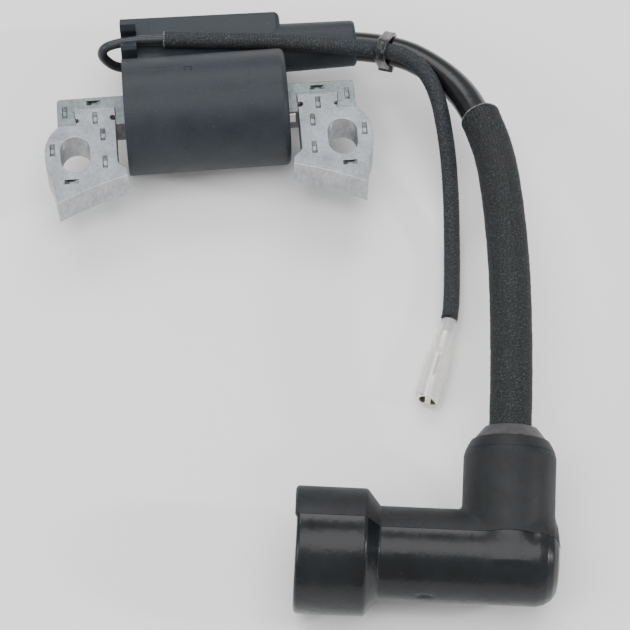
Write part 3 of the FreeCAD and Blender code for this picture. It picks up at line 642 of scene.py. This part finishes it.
# ---- boot ----
MOUTH = 45.3                 # from the corner to the mouth's plane
CLOSED = 10.9                # from the corner to the closed end
LEAD_END = 28.4              # from the corner to the lead end's rim
CORNER = np.array(BOOT_CORNER)
AXIS_M, AXIS_L = np.array(TO_MOUTH), np.array(TO_LEAD)
FLASH_LEAN = math.radians(10.0)      # the mould's parting line leans back from the top by this
FLASH_UP = np.array([0.1305 * math.sin(FLASH_LEAN), 0.9914 * math.sin(FLASH_LEAN), math.cos(FLASH_LEAN)])
FLASH_SIDE = np.cross(AXIS_M, FLASH_UP)      # out of the parting plane, towards the lead end
FLASH_SIDE = FLASH_SIDE * np.sign(FLASH_SIDE @ AXIS_L)
ROUND = 0.9                  # rounding of the plug arm's edges
ARM_RADIUS = 10.1
SOCKET_RADIUS = 3.55
DENT_S = 17.46                       # a small dent low on the plug arm's front
DENT_OUT = unit(np.array([-0.132, -0.99, 0.0]) * 0.995 + np.array([0, 0, 0.092]))
DENT_DOWN = np.cross(AXIS_M, DENT_OUT)


def turned_distance(outline, s, r):
    """Distance to the solid that an outline of (s, r), from axis to axis, makes when turned.

    It is below 0 inside.
    """
    a = np.array(outline, float)
    a, b = a[:-1], a[1:]
    p = np.stack([s, r], -1)[:, None]
    ab = b - a
    share = np.clip(((p - a) * ab).sum(-1) / (ab * ab).sum(-1), 0, 1)[..., None]
    gap = np.linalg.norm(p - a - share * ab, axis=-1).min(1)
    over = (a[:, 0] > s[:, None]) != (b[:, 0] > s[:, None])
    rise = np.where(np.abs(ab[:, 0]) < 1e-9, 1.0, ab[:, 0])
    at_r = a[:, 1] + (s[:, None] - a[:, 0]) / rise * ab[:, 1]
    inside = (over & (at_r > r[:, None])).sum(1) % 2 == 1
    return np.where(inside, -gap, gap)


def blended(a, b, width):
    """The nearer of two distances, with a fillet where they meet."""
    mix = np.maximum(width - np.abs(a - b), 0) / width
    return np.minimum(a, b) - mix * mix * width / 4


def boot_distance(p):
    """Distance to the boot's rubber: two turned bodies with a saddle between them, less the bores."""
    rel = p - CORNER
    s, t = rel @ AXIS_M, rel @ AXIS_L
    arm_r = np.sqrt(np.maximum((rel * rel).sum(1) - s * s, 0))
    lead_r = np.sqrt(np.maximum((rel * rel).sum(1) - t * t, 0))
    back = np.tanh((rel @ FLASH_SIDE) / 0.25)
    turn = np.arctan2(rel @ FLASH_UP, -(rel @ FLASH_SIDE))
    wave = 0.22 * back + 0.16 * np.cos(2 * turn + 0.6)
    s_rim = s - (wave + 0.15) * np.clip((s - 31.0) / 12.0, 0, 1) ** 2
    flare = MOUTH - 14.3
    e = ROUND
    arm = turned_distance([
        (-CLOSED + e, 0), (-CLOSED + e, 5.3), (-CLOSED + 1.2, 6.85), (-CLOSED + 2.0, 8.05),
        (-CLOSED + 3.2, 8.85), (-CLOSED + 4.7, ARM_RADIUS - e),
        (flare - 3.1, ARM_RADIUS - e), (flare - 0.2, 13.7 - e), (MOUTH - e, 13.75 - e), (MOUTH - e, 0),
    ], s_rim, arm_r) - e
    end = turned_distance([
        (-2, 0), (-2, 9.85), (21.8, 9.85), (23.0, 9.5), (24.3, 8.85), (25.3, 8.15), (25.4, 7.75),
        (LEAD_END - 0.2, 5.5), (LEAD_END - 0.2, 0),
    ], t, lead_r) - 0.2
    end = np.maximum(end, -t - 6)
    dent = np.exp(-((s - DENT_S) / 1.5) ** 4 - ((rel @ DENT_DOWN) / 0.55) ** 4) * (arm_r > 8)
    outside = blended(arm, end, 1.1) + 0.5 * dent
    bores = turned_distance([
        (MOUTH + 9, 0), (MOUTH + 9, 11.9), (MOUTH - 0.4, 11.9), (MOUTH - 1.0, 11.6), (MOUTH - 14.0, 11.6),
        (MOUTH - 18.5, 5.2), (MOUTH - 38.0, 5.2), (MOUTH - 38.0, 4.9), (MOUTH - 50.0, 4.9), (MOUTH - 50.0, 0),
    ], s, arm_r)
    socket = turned_distance([
        (LEAD_END + 9, 0), (LEAD_END + 9, 4.75), (LEAD_END - 6, 4.75),
        (LEAD_END - 6, SOCKET_RADIUS), (9.7, SOCKET_RADIUS),
        (9.7, 1.3), (0, 1.3), (0, 0),
    ], t, lead_r)
    inside = np.minimum(bores, socket)
    return -blended(-outside, inside, 0.7)


def settled(points, distance, target=0.0, rounds=5):
    """Points moved along the slope of a distance until they lie at the target from its surface."""
    points = points.copy()
    eye = np.eye(3) * 0.02
    for _ in range(rounds):
        here = distance(points) - target
        slope = np.stack([(distance(points + d) - distance(points - d)) / 0.04 for d in eye], 1)
        size = np.maximum((slope * slope).sum(1), 0.25)
        move = -here[:, None] * slope / size[:, None]
        reach = np.linalg.norm(move, axis=1, keepdims=True)
        points += move * np.minimum(1, 0.5 / np.maximum(reach, 1e-9))
    return points


rubber_gloss = Surface("boot_rubber", IOR=1.52, Specular_IOR_Level=0.3)
ripple = rubber_gloss.noise(110, 4, 0.55, rubber_gloss.stretched(1.0, 0.6, 1.0))
fold = rubber_gloss.noise(420, 3, 0.6)
side_share = rubber_gloss.add("VectorMath", {0: rubber_gloss.position, 1: tuple(FLASH_SIDE)},
                              operation="DOT_PRODUCT").outputs["Value"]
plane_at = float(CORNER @ FLASH_SIDE) * MM
behind = rubber_gloss.math("GREATER_THAN", side_share, plane_at)
# painted highlights: small grey specks in the colour stand in for glints off tiny bubbles in the rubber
painted_glints = rubber_gloss.ramp(rubber_gloss.noise(900, 4, 0.7), (0.66, 0.0), (0.74, 1.0))
gloss_colour = rubber_gloss.ramp(ripple, (0.35, (0.003, 0.004, 0.005)), (0.7, (0.008, 0.0105, 0.013)))
matte_colour = rubber_gloss.ramp(fold, (0.3, (0.005, 0.0062, 0.0078)), (0.7, (0.009, 0.0112, 0.0138)))
both = rubber_gloss.mixed(behind, gloss_colour, matte_colour)
rubber_gloss.colour(rubber_gloss.mixed(rubber_gloss.math("MULTIPLY", painted_glints, 0.25), both, (0.10, 0.10, 0.10)))
rubber_gloss.rough(rubber_gloss.math("ADD", rubber_gloss.ramp(ripple, (0.3, 0.18), (0.7, 0.34)),
                                     rubber_gloss.math("MULTIPLY", behind, 0.3)))
rubber_gloss.bump(ripple, 0.3)
rubber_gloss.bump(fold, 0.03)

# painted highlight: the chamfer inside the lead end's rim is coloured paler than the boot, for the light the
# flat chamfer catches
rim_painted_highlight = Surface("boot_rim_rubber", Roughness=0.5, IOR=1.52)
rim_painted_highlight.colour(rim_painted_highlight.ramp(rim_painted_highlight.noise(500, 4), (0.35, (0.024, 0.026, 0.028)),
                                  (0.7, (0.048, 0.05, 0.052))))
rim_painted_highlight.bump(rim_painted_highlight.noise(900, 3), 0.03)


def boot():
    """The boot's rubber, remeshed from the CAD node and drawn onto its smooth shape."""
    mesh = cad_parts["plug_boot"].data.copy()
    cleaned(mesh, 1e-6)
    rough = linked("rough", mesh)
    remesh = rough.modifiers.new("even", "REMESH")
    remesh.mode = "VOXEL"
    remesh.voxel_size = 0.5 * MM
    graph = bpy.context.evaluated_depsgraph_get()
    even = bpy.data.meshes.new_from_object(rough.evaluated_get(graph))
    bpy.data.objects.remove(rough)
    points = np.array([v.co for v in even.vertices]) / MM
    faces = [tuple(f.vertices) for f in even.polygons]
    points = settled(points, boot_distance)
    made = piece("plug_boot_rubber", points, faces, [rubber_gloss], body="boot")
    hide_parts("plug_boot")
    return made


def flash_line():
    """Thin fin of rubber along the mould's parting line."""
    runs = np.linspace(MOUTH - 0.7, -CLOSED + 4.0, 260)
    over_top = CORNER + runs[:, None] * AXIS_M + 16.0 * FLASH_UP
    drops = np.linspace(9.6, -9.6, 60)
    down_end = CORNER - (CLOSED + 3.0) * AXIS_M + drops[:, None] * FLASH_UP
    line = np.concatenate([over_top, down_end])
    reach = np.zeros(len(line))
    inward = np.concatenate([np.tile(-FLASH_UP, (len(runs), 1)), np.tile(AXIS_M, (len(drops), 1))])
    for _ in range(60):
        gap = boot_distance(line + inward * reach[:, None])
        reach = reach + np.clip(gap, -1, 1) * 0.8
    line = line + inward * reach[:, None]
    step = np.linalg.norm(np.diff(line, axis=0), axis=1)
    keep = np.concatenate([[True], step > 0.02])
    line = line[keep]
    eye = np.eye(3) * 0.05
    out = unit(np.stack([boot_distance(line + d) - boot_distance(line - d) for d in eye], 1))
    rng = np.random.default_rng(3)
    rise = 0.10 + 0.06 * np.convolve(rng.uniform(-1, 1, len(line)), np.ones(7) / 7, "same")[:, None]
    rows = [line - FLASH_SIDE * 0.16 - out * 0.05, line - FLASH_SIDE * 0.05 + out * rise,
            line + FLASH_SIDE * 0.05 + out * rise, line + FLASH_SIDE * 0.16 - out * 0.05]
    faces = grid_faces(len(rows), len(line), closed_columns=False, closed_rows=True)
    return piece("boot_flash_line", np.concatenate(rows), faces, [rubber_gloss], body="boot")


def end_rim():
    """The crisp edge of the lead end and the chamfer inside it, coloured paler as a painted highlight."""
    outline = [(22.9, 9.2), (23.0, 9.76), (24.3, 9.15), (25.4, 8.5), (25.48, 8.08), (28.34, 5.8), (28.4, 5.4),
               (28.34, 4.82), (26.5, 4.82)]
    points, faces = turned(outline, CORNER, AXIS_L, 128)
    rows = np.repeat(np.arange(len(outline)), 128)
    made = piece("boot_end_rim", points, faces, [rubber_gloss, rim_painted_highlight], body="boot",
                 chosen=np.isin(rows, (4, 5)).astype(int).tolist())
    made.data.set_sharp_from_angle(angle=math.radians(20))
    return made


boot_pieces = [boot(), flash_line(), end_rim()]

# ---- kill wire terminal ----
cover_pvc = Surface("cover_pvc", Roughness=0.25, IOR=1.4, Alpha=0.3)
cover_pvc.colour(cover_pvc.ramp(cover_pvc.noise(500), (0.3, (0.80, 0.81, 0.80)), (0.7, (0.93, 0.93, 0.91))))
cover_pvc.bump(cover_pvc.noise(380, 3), 0.12)
START = np.array(TERMINAL_START)
AXIS_T = np.array(TO_TERMINAL)


def slanted(s, angle):
    """The cover's mouth is cut at a slant."""
    return (0.7 - 1.4 * (1 + np.cos(angle - 0.1))) * max(0.0, (s - 14.0) / 8.0) ** 2


cover_outline = [
    (-0.1, 1.5), (-0.1, 1.9), (0.2, 2.0), (2.8, 2.0), (3.6, 2.1), (4.6, 2.45), (5.2, 2.52), (7.2, 2.56),
    (8.2, 2.8), (9.4, 3.15), (10.2, 3.2), (16.0, 3.2), (21.7, 3.2), (21.88, 3.14), (21.88, 2.9), (21.7, 2.8),
    (16.0, 2.8), (9.4, 2.7), (7.4, 2.1), (4.4, 2.0), (3.0, 1.5),
]
points, faces = turned(cover_outline, START, AXIS_T, 64, shear=slanted)
cover = piece("terminal_cover_pvc", points, faces, [cover_pvc], body="cover")
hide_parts("terminal_cover")


def contact_leaf():
    """The terminal's inner spring leaf, which crosses its bore."""
    work = bmesh.new()
    add_block(work, (1.4, 3.9, 6.0))
    round_edges(work, 0.3)
    side = unit(np.cross(AXIS_T, (0, 0, 1)))
    other = np.cross(AXIS_T, side)
    points = [START + side * v.co.x + other * v.co.y + AXIS_T * (17.9 + v.co.z) for v in work.verts]
    faces = [tuple(v.index for v in f.verts) for f in work.faces]
    work.free()
    return piece("terminal_contact_leaf", points, faces, [tinned])


leaf = contact_leaf()

# ---- case, and finishes of the CAD nodes that show as they are ----
brass = steel("brass", (0.42, 0.28, 0.10), (0.62, 0.44, 0.18), 0.32)
copper = steel("enamelled_copper", (0.33, 0.10, 0.04), (0.50, 0.19, 0.08), 0.34, (14, 1, 1), 900, 0.08)
spring = steel("spring_steel", (0.35, 0.35, 0.35), (0.55, 0.55, 0.55), 0.3)


def moulded(name, low, high, roughness, depth=0.03):
    made = Surface(name, Roughness=roughness)
    made.colour(made.ramp(made.noise(300, 4), (0.3, low), (0.7, high)))
    made.bump(made.noise(2200, 2), depth)
    return made


bobbin_nylon = moulded("bobbin_nylon", (0.09, 0.09, 0.08), (0.14, 0.135, 0.12), 0.5)
board_epoxy = moulded("board_epoxy", (0.02, 0.07, 0.03), (0.04, 0.12, 0.05), 0.35)
package_epoxy = moulded("package_epoxy", (0.008, 0.008, 0.008), (0.016, 0.016, 0.016), 0.45)
FINISH = {
    "housing_shell": housing,
    "potting_compound": potting,
    "primary_bobbin": bobbin_nylon,
    "secondary_bobbin": bobbin_nylon,
    "primary_winding": copper,
    "secondary_winding": copper,
    "control_board": board_epoxy,
    "power_transistor": package_epoxy,
    "ht_terminal_pin": brass,
    "ground_tab": tinned,
    "ht_lead_conductor": copper,
    "kill_terminal": tinned,
    "boot_lead_terminal": brass,
    "plug_clip": brass,
    "clip_ring": spring,
}
for node, surface in FINISH.items():
    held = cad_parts[node].data.materials
    held.clear()
    held.append(surface.material)

BODY_RADIUS = 13.7           # of the case's round body, which touches the bench
MOULD_STRIPS = [             # two ends in x, degrees back from the top, width, height
    (-18.6, -2.9, 18.6, 1.5, 0.16),
    (-4.6, -2.7, 18.0, 0.5, 0.3),
    (-4.6, -4.2, 16.0, 1.9, 0.24),
    (-3.0, -2.7, 16.0, 1.9, 0.24),
]
STRIP_ROWS, STRIP_ENDS = 7, 4
STRIP_SUNK = 0.03            # how far a strip's border lies under the case's skin


def mould_line():
    """A low strip along the case from its open end, which ends at a gate mark."""
    work = bmesh.new()
    for x0, x1, back, wide, high in MOULD_STRIPS:
        rows = []
        for share in np.linspace(-0.5, 0.5, STRIP_ROWS):
            lean = math.radians(back) + share * wide / BODY_RADIUS
            rise = high if abs(share) < 0.4 else -STRIP_SUNK
            for x in (x0, x0 + 0.1, x1 - 0.1, x1):
                r = BODY_RADIUS + (rise if x in (x0 + 0.1, x1 - 0.1) else -STRIP_SUNK)
                place = Vector((x, r * math.sin(lean), BODY_RADIUS + r * math.cos(lean)))
                rows.append(work.verts.new(place * MM))
        for a, b, c, d in grid_faces(STRIP_ROWS, STRIP_ENDS, closed_columns=False):
            work.faces.new((rows[a], rows[b], rows[c], rows[d]))
    bmesh.ops.recalc_face_normals(work, faces=work.faces)
    from_work("case_mould_line", work, housing, smooth=False)


mould_line()

# ---- stage ----
floor_mesh = bpy.data.meshes.new("floor")
floor_low = cad_box[0].z - 0.0002
floor_mesh.from_pydata([(-3, -3, floor_low), (3, -3, floor_low), (3, 3, floor_low), (-3, 3, floor_low)],
                       [], [(0, 1, 2, 3)])
floor = linked("floor", floor_mesh)
floor_paint = Surface("floor_paint", Roughness=0.9, Base_Color=(0.9, 0.9, 0.9, 1))
floor_mesh.materials.append(floor_paint.material)

world = bpy.data.worlds.new("studio")
world.use_nodes = True
world.node_tree.nodes["Background"].inputs["Color"].default_value = (1, 1, 1, 1)
world.node_tree.nodes["Background"].inputs["Strength"].default_value = 0.74
bpy.context.scene.world = world


def area_light(name, place, target, size, power):
    data = bpy.data.lights.new(name, "AREA")
    data.shape = "RECTANGLE"
    data.size, data.size_y = size
    data.energy = power
    lamp = linked(name, data)
    lamp.location = place
    lamp.rotation_euler = (Vector(target) - Vector(place)).to_track_quat("-Z", "Y").to_euler()


area_light("front", (0.0, -0.2, 1.15), (0, -0.05, 0), (1.1, 0.7), 8)
area_light("top", (0.0, 0.75, 0.95), (0, -0.03, 0), (1.2, 0.5), 8)
area_light("left", (-0.95, -0.35, 0.65), (0, -0.05, 0), (0.4, 0.4), 4)
area_light("right", (0.9, -0.3, 0.5), (0, -0.05, 0), (0.08, 0.08), 3)

camera_data = bpy.data.cameras.new("camera")
camera_data.lens = CAMERA_LENS
camera_data.sensor_width = 36.0
camera_data.clip_start = 0.01
camera = linked("camera", camera_data)
up = CAMERA_RIGHT.cross(CAMERA_FORWARD)
turn = Matrix((CAMERA_RIGHT, up, -CAMERA_FORWARD)).transposed().to_4x4()
camera.matrix_world = Matrix.Translation(CAMERA_PLACE) @ turn
bpy.context.scene.camera = camera
